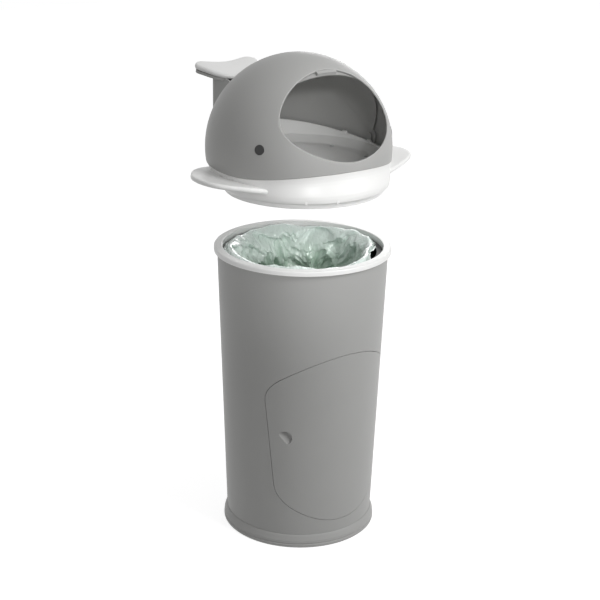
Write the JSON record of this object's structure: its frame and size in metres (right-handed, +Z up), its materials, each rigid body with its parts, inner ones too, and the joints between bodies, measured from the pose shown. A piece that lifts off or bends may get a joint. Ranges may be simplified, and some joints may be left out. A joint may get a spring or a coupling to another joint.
{
  "type": "nappy bin",
  "caption": "Whale-shaped nappy bin: round grey body with access door, white collar and bag, and a head with visor, drop funnel, fins and tail",
  "frame": {"origin": "On the floor, on the axis of the round body, at the middle of the base", "axes": "+Z up; +Y toward the tail, so the mouth and the door face -Y; +X toward the whale's left side"},
  "size_m": [0.4024, 0.3978, 0.803],
  "materials": {
    "grey_shell": "satin moulded plastic",
    "white_plastic": "satin moulded plastic",
    "funnel_plastic": "satin moulded plastic",
    "black_ring": "matt",
    "bag_film": "thin translucent film",
    "steel": "plated",
    "magnet": "coated",
    "pivot_plastic": "matt",
    "eye_black": "gloss"
  },
  "bodies": {
    "bin": {"bin_shell": "grey_shell", "foot_ring": "grey_shell", "base_plate": "grey_shell", "base_screws": "steel", "collar": "white_plastic", "bag_ring": "black_ring", "liner_bag": "bag_film", "hinge_brackets": "grey_shell", "hinge_pins": "steel", "catch_bracket": "grey_shell", "catch_magnet": "magnet"},
    "door": {"door_panel": "grey_shell", "hinge_arms": "grey_shell", "catch_disc": "steel"},
    "head": {"head_tray": "white_plastic", "funnel": "funnel_plastic", "funnel_screws": "steel", "flap_pin": "steel", "flap_spring": "steel", "dome": "grey_shell", "visor_pivots": "pivot_plastic", "left_eye": "eye_black", "right_eye": "eye_black", "left_fin": "white_plastic", "right_fin": "white_plastic", "fin_screws": "steel", "tail_body": "grey_shell", "tail_cover": "white_plastic", "tail_screws": "steel"},
    "visor": {"visor": "grey_shell"},
    "drop_flap": {"drop_flap": "funnel_plastic"}
  },
  "joints": [
    {"name": "head_lift", "type": "slide", "parent": "bin", "child": "head", "axis": [0, 0, 1], "range_m": [-0.1028, 0]},
    {"name": "door_hinge", "type": "hinge", "parent": "bin", "child": "door", "pos_m": [0.11296, -0.04336, 0.2], "axis": [0, 0, 1], "range_deg": [0, 95]},
    {"name": "visor_turn", "type": "hinge", "parent": "head", "child": "visor", "pos_m": [0, 0.016, 0.652], "axis": [1, 0, 0], "range_deg": [0, 56.5]},
    {"name": "flap_drop", "type": "hinge", "parent": "head", "child": "drop_flap", "pos_m": [0, 0.102, 0.60948], "axis": [1, 0, 0], "range_deg": [0, 75], "stiffness_Nm_per_rad": 0.02, "springref_deg": -143.24}
  ]
}
